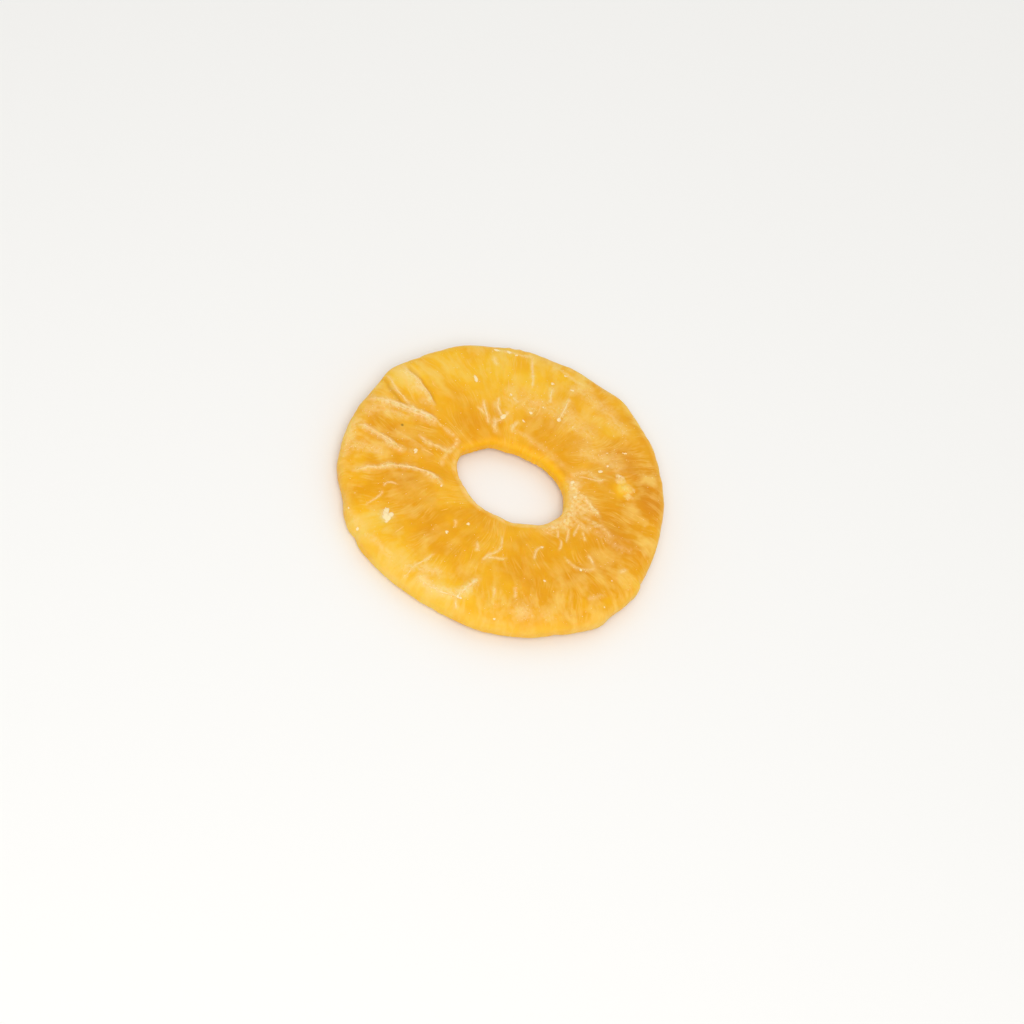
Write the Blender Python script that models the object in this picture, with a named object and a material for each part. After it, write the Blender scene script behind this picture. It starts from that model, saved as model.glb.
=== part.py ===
# A dried pineapple ring: one cored slice of candied fruit, lying flat with its better side up.
# Metres, +Z up. The origin is under the middle of the ring, on the surface that it lies on.
# +X is the viewer's right along the ring, +Y points away from the viewer.

import math

import bpy
import numpy as np

# Driving dimensions; the hole's long way lies along X
RING_RADIUS = 0.0379
RING_THICKNESS = 0.0070
HOLE_HALF_LENGTH = 0.0131
HOLE_HALF_WIDTH = 0.0093
HOLE_CENTRE = (0.0013, 0.0006)

# The soft flesh beside the core shrinks most: how far each face draws in at the hole's edge
HOLE_THINNING = 0.0011

# How the flat faces turn into the sides: 2 is a full round, larger is squarer
RIM_SQUARENESS = 3.3
HOLE_EDGE_SQUARENESS = 3.6

# Facets: around the ring, and around its section
STEPS_AROUND = 120
STEPS_SECTION = 36
SECTION_SAMPLES = 1440

# Slow waves of the outline: how many to a turn, height, angle of one crest in degrees
OUTLINE_WAVES = (
    (3, 0.00055, -40.0),
    (4, 0.00048, -38.0),
    (9, 0.00012, 20.0),
    (17, 0.00014, 64.0),
)

# Short bumps and dents of the outline: angle in degrees, half width in degrees, height
OUTLINE_MARKS = (
    (-36.0, 5.0, 0.00075),
    (-77.0, 9.0, 0.00095),
    (-105.0, 7.0, -0.00050),
    (-130.0, 8.0, -0.00035),
    (-147.0, 6.0, -0.00110),
    (-160.0, 4.0, 0.00040),
    (169.0, 7.0, -0.00065),
    (158.0, 6.0, 0.00045),
    (147.0, 6.0, -0.00070),
    (136.0, 8.0, -0.00055),
    (98.0, 9.0, 0.00020),
    (82.0, 9.0, 0.00035),
    (66.0, 10.0, 0.00070),
    (21.0, 8.0, -0.00035),
    (0.0, 9.0, -0.00030),
)

# The same for the hole's outline
HOLE_MARKS = (
    (170.0, 10.0, 0.00050),
    (132.0, 13.0, 0.00055),
    (60.0, 14.0, 0.00030),
    (11.0, 12.0, -0.00050),
    (-34.0, 10.0, 0.00030),
    (-71.0, 14.0, 0.00035),
    (-115.0, 14.0, 0.00025),
    (-150.0, 14.0, -0.00045),
)

# The ring dried unevenly, so it is bent: waves to a turn, height at the rim, angle of a crest
WARP_WAVES = (
    (2, 0.00075, 152.0),
    (3, 0.00035, 25.0),
)
WARP_SINK = 0.0005

# Shallow waves of both faces along the fibres: how many to a turn, height, lean with radius
FACE_WAVES = (
    (13, 0.00013, 40.0),
    (21, 0.00009, -75.0),
)

# Raised fibre bundles and folds of the upper face: three points from the rim inwards,
# half width and height, where a fold has a height below nothing
FACE_LINES = {
    "upper ridge": ((-0.0363, 0.0031), (-0.0285, 0.0049), (-0.0204, 0.0052), 0.0013, 0.00060),
    "middle ridge": ((-0.0353, -0.0049), (-0.0300, -0.0047), (-0.0238, -0.0054), 0.0011, 0.00040),
    "lower ridge": ((-0.0307, -0.0158), (-0.0227, -0.0102), (-0.0126, -0.0094), 0.0013, 0.00055),
    "upper fold": ((-0.0310, 0.0139), (-0.0267, 0.0116), (-0.0223, 0.0092), 0.0012, -0.00045),
    "lower fold": ((-0.0355, 0.0108), (-0.0298, 0.0070), (-0.0231, 0.0055), 0.0013, -0.00060),
    "petal": ((-0.0335, 0.0128), (-0.0296, 0.0108), (-0.0234, 0.0085), 0.0016, 0.00035),
    "near ridge": ((0.0036, -0.0285), (0.0020, -0.0318), (0.0016, -0.0350), 0.0011, 0.00030),
    "hole curl": ((-0.0216, -0.0004), (-0.0162, -0.0009), (-0.0132, 0.0030), 0.0011, 0.00030),
}
LINE_SAMPLES = 24

# Lumps of the upper face: place, radius, height
FACE_LUMPS = (
    (0.0247, 0.0110, 0.0034, 0.00075),
    (0.0162, 0.0018, 0.0030, 0.00030),
    (-0.0204, -0.0225, 0.0020, 0.00045),
    (-0.0076, 0.0168, 0.0034, 0.00025),
    (0.0126, 0.0215, 0.0036, 0.00025),
)

FLESH_COLOUR = (0.83, 0.42, 0.06, 1.0)
FLESH_ROUGHNESS = 0.45


def clear_scene():
    for item in list(bpy.data.objects):
        bpy.data.objects.remove(item, do_unlink=True)


def flesh_material():
    material = bpy.data.materials.new("candied pineapple flesh")
    material.use_nodes = True
    shader = material.node_tree.nodes["Principled BSDF"]
    shader.inputs["Base Color"].default_value = FLESH_COLOUR
    shader.inputs["Roughness"].default_value = FLESH_ROUGHNESS
    shader.inputs["Metallic"].default_value = 0.0
    return material


def angle_gap(angle, centre):
    """Smallest signed angle from the centre angle, in radians."""
    return (angle - centre + math.pi) % (2 * math.pi) - math.pi


def marked_outline(angle, marks):
    """What the short bumps and dents add to an outline's radius."""
    added = np.zeros_like(angle)
    for place, half_width, height in marks:
        gap = angle_gap(angle, math.radians(place)) / math.radians(half_width)
        added += height * np.exp(-gap ** 2)
    return added


def outline_radius(angle):
    radius = RING_RADIUS + marked_outline(angle, OUTLINE_MARKS)
    for count, height, crest in OUTLINE_WAVES:
        radius += height * np.cos(count * (angle - math.radians(crest)))
    return radius


def hole_radius(angle):
    """An uneven ellipse, measured from the hole's own centre."""
    along = np.cos(angle) / HOLE_HALF_LENGTH
    across = np.sin(angle) / HOLE_HALF_WIDTH
    return 1 / np.hypot(along, across) + marked_outline(angle, HOLE_MARKS)


def section_steps():
    """Even steps round the section: place across the band and up it, each from -1 to 1."""
    turn = np.linspace(0.0, 2 * math.pi, SECTION_SAMPLES + 1)
    squareness = np.where(np.cos(turn) > 0, RIM_SQUARENESS, HOLE_EDGE_SQUARENESS)
    across = np.sign(np.cos(turn)) * np.abs(np.cos(turn)) ** (2 / squareness)
    upward = np.sign(np.sin(turn)) * np.abs(np.sin(turn)) ** (2 / squareness)
    half_band = (RING_RADIUS - (HOLE_HALF_LENGTH + HOLE_HALF_WIDTH) / 2) / 2
    step = np.hypot(np.diff(across) * half_band, np.diff(upward) * RING_THICKNESS / 2)
    walked = np.concatenate(([0.0], np.cumsum(step)))
    wanted = np.arange(STEPS_SECTION) / STEPS_SECTION * walked[-1]
    return np.interp(wanted, walked, across), np.interp(wanted, walked, upward)


def bent_line(start, middle, end):
    """Points along a curve that passes through its middle point."""
    share = np.linspace(0.0, 1.0, LINE_SAMPLES)[:, None]
    start, middle, end = np.array(start), np.array(middle), np.array(end)
    handle = 2 * middle - (start + end) / 2
    return (1 - share) ** 2 * start + 2 * share * (1 - share) * handle + share ** 2 * end


def upper_relief(x, y):
    height = np.zeros_like(x)
    for start, middle, end, half_width, rise in FACE_LINES.values():
        line = bent_line(start, middle, end)
        gap = np.hypot(x[:, None] - line[:, 0], y[:, None] - line[:, 1]).min(axis=1)
        height += rise * np.exp(-(gap / half_width) ** 2)
    for place_x, place_y, radius, rise in FACE_LUMPS:
        gap = np.hypot(x - place_x, y - place_y) / radius
        height += rise * np.exp(-gap ** 2)
    return height


def face_waves(x, y):
    angle = np.arctan2(y, x)
    reach = np.hypot(x, y) / RING_RADIUS
    height = np.zeros_like(x)
    for count, rise, lean in FACE_WAVES:
        height += rise * reach * np.cos(count * angle + math.radians(lean) * reach * 4)
    return height


def warp(x, y):
    angle = np.arctan2(y, x)
    reach = np.hypot(x, y) / RING_RADIUS
    height = np.zeros_like(x)
    for count, rise, crest in WARP_WAVES:
        height += rise * reach ** 2 * np.cos(count * (angle - math.radians(crest)))
    return height


def ring_points():
    """Every point of the ring, section after section, as the torus has them."""
    across, upward = section_steps()
    angle = np.repeat(np.arange(STEPS_AROUND) / STEPS_AROUND * 2 * math.pi, STEPS_SECTION)
    across, upward = np.tile(across, STEPS_AROUND), np.tile(upward, STEPS_AROUND)
    share = (across + 1) / 2
    inner_x = HOLE_CENTRE[0] + hole_radius(angle) * np.cos(angle)
    inner_y = HOLE_CENTRE[1] + hole_radius(angle) * np.sin(angle)
    outer_x = outline_radius(angle) * np.cos(angle)
    outer_y = outline_radius(angle) * np.sin(angle)
    x = inner_x + (outer_x - inner_x) * share
    y = inner_y + (outer_y - inner_y) * share
    x -= (x.min() + x.max()) / 2
    y -= (y.min() + y.max()) / 2
    z = (1 + upward) * RING_THICKNESS / 2 + warp(x, y) - WARP_SINK
    z += upward * (face_waves(x, y) - HOLE_THINNING * (1 - share) ** 2)
    z += np.maximum(upward, 0) * upper_relief(x, y)
    z = np.maximum(z, 0.0)
    return np.column_stack((x, y, z))


def make_ring(collection):
    bpy.ops.mesh.primitive_torus_add(
        major_segments=STEPS_AROUND, minor_segments=STEPS_SECTION,
        major_radius=RING_RADIUS / 2, minor_radius=RING_THICKNESS / 2)
    ring = bpy.context.object
    ring.name = "pineapple_ring"
    ring.data.name = "pineapple_ring"
    ring.data.vertices.foreach_set("co", ring_points().ravel())
    ring.data.update()
    ring.data.shade_smooth()
    ring.data.materials.append(flesh_material())
    for holder in list(ring.users_collection):
        holder.objects.unlink(ring)
    collection.objects.link(ring)
    return ring


def main():
    clear_scene()
    collection = bpy.data.collections.new("dried pineapple ring")
    bpy.context.scene.collection.children.link(collection)
    make_ring(collection)


main()
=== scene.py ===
import math

import bmesh
import bpy
import numpy as np
from mathutils import Matrix, Vector


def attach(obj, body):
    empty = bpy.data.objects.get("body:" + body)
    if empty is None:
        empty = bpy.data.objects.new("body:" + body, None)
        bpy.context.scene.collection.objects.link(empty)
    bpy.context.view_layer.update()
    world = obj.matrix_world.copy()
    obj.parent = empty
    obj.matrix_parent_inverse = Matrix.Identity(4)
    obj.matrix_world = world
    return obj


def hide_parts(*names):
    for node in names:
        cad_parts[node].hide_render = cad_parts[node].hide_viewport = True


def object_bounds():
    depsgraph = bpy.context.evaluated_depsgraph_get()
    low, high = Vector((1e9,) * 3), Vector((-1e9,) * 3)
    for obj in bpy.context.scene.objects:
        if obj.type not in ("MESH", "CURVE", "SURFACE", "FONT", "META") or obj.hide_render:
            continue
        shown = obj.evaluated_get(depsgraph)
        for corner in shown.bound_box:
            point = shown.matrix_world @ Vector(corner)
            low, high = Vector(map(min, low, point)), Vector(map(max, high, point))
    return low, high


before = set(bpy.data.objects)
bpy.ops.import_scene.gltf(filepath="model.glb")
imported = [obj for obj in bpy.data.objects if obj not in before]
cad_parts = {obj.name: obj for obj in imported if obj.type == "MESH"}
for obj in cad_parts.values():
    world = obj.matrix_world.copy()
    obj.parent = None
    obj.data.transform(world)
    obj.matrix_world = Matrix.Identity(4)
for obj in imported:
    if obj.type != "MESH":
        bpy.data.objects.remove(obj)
cadLow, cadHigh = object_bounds()
mm = 0.001


# Small helpers

def hexColour(text):
    # sRGB hex to the linear values that shaders want
    parts = [int(text[i:i + 2], 16) / 255 for i in (1, 3, 5)]
    linear = [p / 12.92 if p <= 0.04045 else ((p + 0.055) / 1.055) ** 2.4 for p in parts]
    return (*linear, 1.0)


def addNode(tree, kind, inputs=None, output=0, **settings):
    # inputs: socket name or number -> a value, or another node's output to link.
    # It gives the node's output of that name or number, or the whole node where output is None.
    node = tree.nodes.new(kind)
    for key, value in settings.items():
        setattr(node, key, value)
    for key, value in (inputs or {}).items():
        if isinstance(value, bpy.types.NodeSocket):
            tree.links.new(value, node.inputs[key])
        else:
            node.inputs[key].default_value = value
    return node if output is None else node.outputs[output]


def newMaterial(name, surface):
    # surface: what the shader's own sockets are set to
    material = bpy.data.materials.new(name)
    material.use_nodes = True
    tree = material.node_tree
    tree.nodes.clear()
    shader = addNode(tree, "ShaderNodeBsdfPrincipled", surface, None)
    addNode(tree, "ShaderNodeOutputMaterial", {"Surface": shader.outputs[0]}, None)
    return material, tree, shader


def newTree(name, values, **others):
    # a geometry tree with an input for each value and for each other kind that is given
    tree = bpy.data.node_groups.new(name, "GeometryNodeTree")
    socketKinds = {int: "Int", float: "Float", tuple: "Vector"}
    kinds = {label: socketKinds[type(value)] for label, value in values.items()}
    for label, kind in {"Geometry": "Geometry", **kinds, **others}.items():
        tree.interface.new_socket(label, in_out="INPUT", socket_type="NodeSocket" + kind)
    tree.interface.new_socket("Geometry", in_out="OUTPUT", socket_type="NodeSocketGeometry")
    return tree, addNode(tree, "NodeGroupInput", output=None).outputs


def finishTree(tree, geometry, material):
    real = addNode(tree, "GeometryNodeRealizeInstances", {"Geometry": geometry})
    done = addNode(tree, "GeometryNodeSetMaterial", {"Geometry": real, "Material": material})
    addNode(tree, "NodeGroupOutput", {0: done}, None)


def sizedNoise(tree, place, size, detail):
    # noise in spots of about a size that the tree is given: its value and its colour
    scale = addNode(tree, "ShaderNodeMath", {0: 1.0, 1: size}, operation="DIVIDE")
    return addNode(tree, "ShaderNodeTexNoise", {
        "Vector": place, "Scale": scale, "Detail": detail}, output=None).outputs


def noiseSwing(tree, colour, amount):
    # a noise's colour as a swing to every side
    level = addNode(tree, "ShaderNodeVectorMath", {0: colour, 1: (0.5, 0.5, 0.5)}, operation="SUBTRACT")
    return addNode(tree, "ShaderNodeVectorMath", {0: level, "Scale": amount}, operation="SCALE")


def bakeTree(source, tree, values, name):
    # runs a tree over an object and keeps the result as a plain mesh of its own
    holder = bpy.data.objects.new(name + "_holder", source.data.copy())
    bpy.context.scene.collection.objects.link(holder)
    modifier = holder.modifiers.new(tree.name, "NODES")
    modifier.node_group = tree
    for item in tree.interface.items_tree:
        if item.in_out == "INPUT" and item.name in values:
            modifier[item.identifier] = values[item.name]
    bpy.context.view_layer.update()
    graph = bpy.context.evaluated_depsgraph_get()
    mesh = bpy.data.meshes.new_from_object(holder.evaluated_get(graph))
    mesh.name = name
    holder.modifiers.remove(modifier)
    bpy.data.objects.remove(holder)
    piece = bpy.data.objects.new(name, mesh)
    bpy.context.scene.collection.objects.link(piece)
    return piece


# The ring's form: what the solid has, at a finer step

ringForm = {
    "radius": 37.9 * mm,
    "thickness": 7.0 * mm,
    "holeHalfLength": 13.1 * mm,
    "holeHalfWidth": 9.3 * mm,
    "holeCentre": (1.3 * mm, 0.6 * mm),
    "holeThinning": 1.1 * mm,      # how far each face draws in at the hole's edge
    "rimSquareness": 3.3,          # 2 is a full round, larger is squarer
    "holeEdgeSquareness": 4.0,
    "stepsAround": 760,
    "stepsSection": 128,
    "sectionSamples": 4000,
    "underStepShare": 0.25,        # the underside gets fewer steps
    "underFrom": -0.9,             # where it starts, from -1 at the bottom to 1 at the top
    "driftSize": 9.0 * mm,         # the fibres wander off straight outwards at about this size
    # waves of the outline: how many to a turn, height, angle of a crest
    "outlineWaves": ((3, 0.55 * mm, -40), (4, 0.48 * mm, -38), (9, 0.12 * mm, 20), (17, 0.14 * mm, 64)),
    # bumps and dents of the outline: angle and half width in degrees, height in mm
    "outlineMarks": (
        (-36, 5, 0.75), (-77, 9, 0.95), (-105, 7, -0.50), (-130, 8, -0.35),
        (-147, 6, -1.10), (-160, 4, 0.40), (169, 7, -0.65), (158, 6, 0.45),
        (147, 6, -0.70), (136, 8, -0.55), (98, 9, 0.20), (82, 9, 0.35),
        (66, 10, 0.70), (21, 8, -0.35), (0, 9, -0.30),
        (-131.5, 1.4, -0.35), (-135, 2.2, 0.20), (-14.5, 1.3, -0.35), (-18, 2, 0.20),
        (106, 1.0, 0.25), (110, 1.2, 0.22), (87, 1.5, 0.20), (-52, 2, -0.22),
    ),
    # the same for the hole
    "holeMarks": (
        (170, 10, 0.50), (132, 13, 0.55), (60, 14, 0.30), (11, 12, -0.50),
        (-34, 10, 0.30), (-71, 14, 0.35), (-115, 14, 0.25), (-150, 14, -0.45),
        (86, 3, -0.15), (72, 2.5, 0.16), (50, 3, -0.14), (-96, 4, 0.12),
    ),
    # the bend that it dried with: waves to a turn, height at the rim, angle of a crest
    "warpWaves": ((2, 0.75 * mm, 152), (3, 0.35 * mm, 25)),
    "warpSink": 0.5 * mm,
    # waves of both faces along the fibres: how many to a turn, height, lean with the radius
    "faceWaves": ((13, 0.13 * mm, 40), (21, 0.09 * mm, -75)),
}

# Edges of the fruitlets, raised fibre bundles and folds of the upper face: their points in mm, the
# half widths in mm on the right and on the left of the way along them, height in mm (a fold has
# a height below nothing), and how pale they dry
faceLines = {
    "upperRidge": ((-35.6, 3.8), (-32.4, 4.7), (-25.1, 5.5), (-20.2, 5.6), 2.0, 0.70, 0.41, 0.90),
    "upperRidgeEnd": ((-26.0, 5.3), (-23.0, 5.5), (-19.6, 5.5), 1.3, 0.80, 0.14, 1.00),
    "middleRidge": ((-35.1, -4.5), (-30.8, -4.2), (-27.2, -5.2), (-23.2, -5.2), 1.4, 0.70, 0.40, 0.80),
    "lowerRidge": ((-31.2, -15.5), (-25.8, -11.5), (-19.1, -8.4), (-12.7, -9.1), 1.1, 0.70, 0.46, 0.95),
    "holeCurl": ((-21.4, 0.2), (-18.7, -1.0), (-16.2, -0.3), (-14.2, -0.4), 0.8, 0.70, 0.26, 0.55),
    "curlEnd": ((-14.4, -0.6), (-13.6, 1.9), (-14.0, 4.2), 0.8, 0.80, 0.20, 0.75),
    "curlDown": ((-14.2, -0.6), (-14.7, -2.5), (-14.6, -4.3), 0.7, 0.70, 0.14, 0.50),
    "ridgeToHole": ((-20.0, 5.6), (-17.2, 4.8), (-14.0, 4.2), 0.6, 0.50, 0.12, 0.45),
    "petal": ((-32.1, 15.2), (-28.3, 13.5), (-22.2, 9.5), 2.9, 0.40, 0.27, 0.75),
    "petalFold": ((-31.0, 15.6), (-27.4, 13.9), (-22.0, 10.2), 0.40, 0.40, -0.20, 0.0),
    "petalLeft": ((-34.9, 11.6), (-30.6, 7.9), (-26.9, 6.3), (-23.8, 6.2), 0.45, 1.30, 0.16, 0.35),
    "petalLeftFold": ((-35.2, 10.9), (-30.9, 7.2), (-26.9, 5.7), 0.50, 0.50, -0.18, 0.0),
    "leftFacet": ((-27.0, -1.6), (-22.0, -2.2), (-17.0, -3.2), 1.8, 0.45, 0.20, 0.25),
    "leftBetween": ((-35.2, -9.8), (-31.2, -9.0), (-26.8, -8.2), 1.5, 2.20, 0.05, 0.50),
    "upperBetween": ((-33.6, 0.6), (-30.2, 2.2), (-25.6, 3.0), 1.5, 1.20, 0.05, 0.42),
    "leftHaze": ((-34.8, -1.0), (-33.6, 2.2), (-31.5, 4.0), 2.0, 1.80, 0.06, 0.42),
    "leftRimHaze": ((-35.0, -13.5), (-36.0, -7.5), (-36.2, -2.0), 2.6, 1.60, 0.05, 0.60),
    "nearLeftFold": ((-30.0, -19.0), (-22.0, -16.6), (-15.0, -14.6), 1.6, 1.60, -0.16, 0.0),
    "nearRidge": ((3.8, -28.2), (2.5, -31.4), (1.1, -34.6), 1.3, 0.90, 0.28, 0.95),
    "nearRimRidge": ((-8.7, -33.0), (-4.7, -35.0), (-1.4, -34.9), (1.0, -34.5), 1.3, 1.50, 0.24, 0.85),
    "nearRimHaze": ((-12.5, -33.5), (-8.0, -31.5), (-4.0, -31.0), 1.8, 2.20, 0.05, 0.55),
    "leftRimStraw": ((-24.0, -28.5), (-19.5, -30.3), (-14.5, -32.6), 1.2, 1.20, 0.05, 0.55),
    "farCurl": ((-9.6, 19.0), (-8.9, 16.7), (-6.8, 14.5), 0.6, 0.60, 0.16, 0.25),
    "farStreak": ((5.4, 27.1), (5.2, 23.9), (5.1, 20.7), 0.9, 0.45, 0.16, 0.20),
    "rightFan": ((21.6, 0.7), (24.4, -1.8), (31.4, -2.8), 0.9, 0.70, 0.16, 0.15),
    "crustBand": ((13.0, 7.4), (16.0, 2.6), (15.9, -3.2), (12.0, -8.0), 2.0, 1.90, 0.20, 1.00),
    "crustEdge": ((15.9, 4.2), (19.3, 2.6), (22.2, 0.6), 1.3, 0.60, 0.24, 0.90),
    "crustSkirt": ((16.4, -1.6), (18.8, -3.2), (22.4, -4.0), 1.2, 1.20, 0.10, 0.50),
    "crustFan": ((18.6, -1.3), (22.8, -2.2), (27.0, -3.2), 1.4, 1.00, 0.10, 0.60),
    "nearArc": ((19.2, -13.5), (21.6, -14.6), (24.2, -14.4), (25.6, -12.0), 0.6, 0.45, 0.14, 0.60),
    "nearCrumbs": ((27.4, -21.6), (28.6, -19.6), (30.6, -18.4), 0.8, 0.70, 0.10, 0.45),
    "crustWing": ((13.0, 8.2), (15.4, 10.0), (20.4, 9.4), 1.2, 1.20, 0.10, 0.50),
    "farSugar": ((-9.0, 19.0), (3.0, 22.5), (15.0, 19.5), 4.2, 4.6, 0.04, 0.34),
    "farRightSugar": ((12.0, 15.0), (18.0, 15.5), (23.5, 14.5), 2.8, 3.6, 0.04, 0.32),
    "rimSugar": ((4.0, 31.5), (13.0, 29.5), (21.0, 24.5), 2.6, 2.2, 0.03, 0.40),
    "farLipHaze": ((-4.5, 12.5), (3.5, 12.2), (10.8, 9.4), 0.9, 1.10, 0.06, 0.35),
    "nearLeftStraw": ((-31.6, -21.0), (-28.6, -24.6), (-24.6, -28.0), 1.3, 1.30, 0.05, 0.50),
    "topFrost": ((-15.6, 31.3), (-11.5, 32.8), (-6.0, 34.2), 0.6, 0.60, 0.06, 0.85),
    "topFrostRight": ((-1.0, 34.9), (3.0, 34.0), (7.6, 33.4), 0.6, 0.60, 0.05, 0.60),
    "rightBand": ((22.6, -3.4), (27.6, -5.0), (32.8, -5.0), 1.3, 1.00, 0.12, 0.30),
    "rightFacet": ((19.5, 12.2), (24.5, 14.6), (31.0, 14.2), 0.5, 1.8, 0.20, 0.05),
    "nearFacet": ((10.0, -17.0), (12.5, -24.0), (12.8, -31.0), 0.5, 2.0, 0.18, 0.05),
    "farFacet": ((-5.4, 12.6), (-9.2, 21.0), (-11.5, 29.5), 1.9, 0.50, 0.18, 0.05),
}

# Lumps of the upper face: place, radius and height in mm, how pale they dry, and how steep their
# sides are
faceLumps = (
    (23.5, 12.3, 1.35, 0.34, 0.75, 7), (25.9, 10.6, 1.4, 0.36, 0.50, 7), (24.4, 9.9, 1.2, 0.38, 0.10, 7),
    (26.5, 8.6, 0.9, 0.26, 0.70, 5), (22.6, 9.0, 0.9, -0.18, 0.0, 2), (25.0, 7.4, 1.1, -0.16, 0.0, 2),
    (15.9, 2.8, 1.9, 0.26, 1.00, 2), (15.2, -1.6, 2.0, 0.22, 0.95, 2), (14.2, 6.5, 1.8, 0.18, 0.75, 2),
    (18.2, 0.8, 1.9, 0.14, 0.90, 2), (16.2, -4.6, 1.9, 0.14, 0.85, 2), (13.2, -8.0, 1.6, 0.10, 0.60, 2),
    (-7.0, 15.6, 1.6, 0.18, 0.25, 2), (-1.6, 19.1, 1.1, 0.12, 0.20, 2), (12.6, 21.5, 1.9, 0.20, 0.15, 2),
    (8.2, 20.8, 1.5, 0.14, 0.15, 2), (-16.2, 20.6, 1.2, 0.20, 0.20, 2), (15.6, -31.2, 2.4, 0.16, 0.55, 2),
    (9.0, -33.4, 2.0, 0.12, 0.30, 2), (20.4, -29.6, 1.8, 0.12, 0.40, 2), (-20.4, -22.8, 1.7, 0.14, 0.80, 4),
    (-31.0, -8.0, 3.0, 0.12, 0.0, 2), (-21.1, -4.3, 1.2, 0.14, 0.40, 2),
)


def crestOf(label):
    # the points of a face line, without its widths, height and paleness
    return faceLines[label][:-4]


# Single fibres of the upper face: their points in mm, then the half thickness in mm
namedFibres = {
    "upperRidgeCrest": (*crestOf("upperRidge"), 0.26),
    "upperRidgeSide": ((-30.1, 4.2), (-25.0, 4.7), (-20.7, 4.9), 0.22),
    "middleRidgeCrest": (*crestOf("middleRidge"), 0.20),
    "lowerRidgeCrest": (*crestOf("lowerRidge"), 0.22),
    "holeCurl": (*crestOf("holeCurl"), 0.18),
    "petalEdge": (*crestOf("petal"), 0.15),
    "petalLeft": ((-34.7, 11.9), (-30.5, 8.2), (-26.9, 6.6), 0.14),
    "topStreak": ((-14.9, 28.8), (-14.0, 28.2), (-12.9, 27.6), 0.16),
    "topLine": ((-6.6, 33.4), (-5.1, 30.0), (-3.8, 25.7), 0.13),
    "topTail": ((0.6, 28.2), (1.1, 26.3), (1.6, 24.5), 0.18),
    "farStreak": (*crestOf("farStreak"), 0.17),
    "farBranch": ((-12.1, 16.3), (-10.7, 14.0), (-9.0, 11.8), 0.17),
    "farTwig": ((-12.6, 13.9), (-11.8, 13.8), (-10.8, 13.4), 0.14),
    "farCurl": (*crestOf("farCurl"), 0.20),
    "farCurlRight": ((-6.1, 16.3), (-6.4, 15.4), (-6.7, 14.4), 0.16),
    "farCurlLeft": ((-8.2, 12.5), (-7.7, 13.4), (-6.9, 14.0), 0.15),
    "farTail": ((-6.7, 20.9), (-5.7, 20.4), (-4.6, 20.2), 0.14),
    "aboveHole": ((-8.4, 13.6), (-7.4, 11.9), (-6.9, 10.6), 0.16),
    "aboveHoleRight": ((-3.2, 15.4), (-3.4, 13.6), (-3.2, 12.2), 0.14),
    "rightFanTop": ((14.6, 8.6), (17.4, 9.1), (20.4, 10.4), 0.09),
    "crustEdge": ((17.0, 4.0), (19.3, 2.4), (21.5, 1.3), 0.10),
    "nearStrokeB": ((17.4, -5.8), (17.8, -7.7), (17.7, -9.3), 0.10),
    "nearStrokeC": ((20.7, -4.9), (21.2, -6.1), (21.4, -7.0), 0.09),
    "nearStrokeD": ((15.4, -7.2), (15.8, -8.2), (15.9, -8.9), 0.09),
    "nearStrokeE": ((18.7, -2.9), (19.2, -4.6), (19.3, -6.8), 0.09),
    "nearStrokeH": ((16.6, -9.6), (17.0, -10.8), (17.0, -12.2), 0.09),
    "lipStroke": ((12.5, -14.3), (12.6, -15.6), (13.1, -17.1), 0.11),
    "lipTwig": ((13.6, -13.4), (12.9, -14.0), (12.6, -14.6), 0.10),
    "nearDash": ((23.9, -10.6), (24.5, -11.2), (25.1, -11.8), 0.16),
    "rightDash": ((31.5, -11.2), (32.0, -10.4), (32.5, -9.6), 0.14),
    "forkStem": ((4.6, -15.4), (4.9, -18.0), (3.8, -20.9), (2.9, -23.5), 0.12),
    "forkBranch": ((3.0, -23.6), (3.6, -22.2), (5.4, -21.2), (7.6, -20.6), 0.12),
    "nearUprightA": ((7.7, -28.9), (8.0, -30.0), (8.4, -31.1), 0.10),
    "nearUprightB": ((12.1, -26.9), (12.4, -27.9), (12.8, -29.1), 0.10),
    "rimForkRight": ((3.6, -28.6), (2.3, -31.7), (1.0, -34.6), 0.34),
    "rimForkLeft": ((-5.5, -34.9), (-1.9, -35.1), (1.0, -34.5), 0.26),
    "rimForkDown": ((1.2, -34.9), (1.6, -36.0), (2.1, -37.0), 0.20),
    "lowDiagonal": ((-11.7, -35.6), (-9.7, -31.8), (-7.6, -27.6), 0.11),
    "leftShortA": ((-6.4, -16.4), (-6.1, -17.3), (-5.9, -18.2), 0.09),
    "leftShortB": ((0.1, -19.8), (0.4, -20.7), (0.6, -21.6), 0.12),
    "leftSquiggleA": ((-25.6, -22.3), (-24.1, -19.9), (-23.9, -17.6), 0.08),
    "leftSquiggleB": ((-24.0, -16.2), (-23.0, -14.6), (-21.6, -14.4), 0.08),
}

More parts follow.
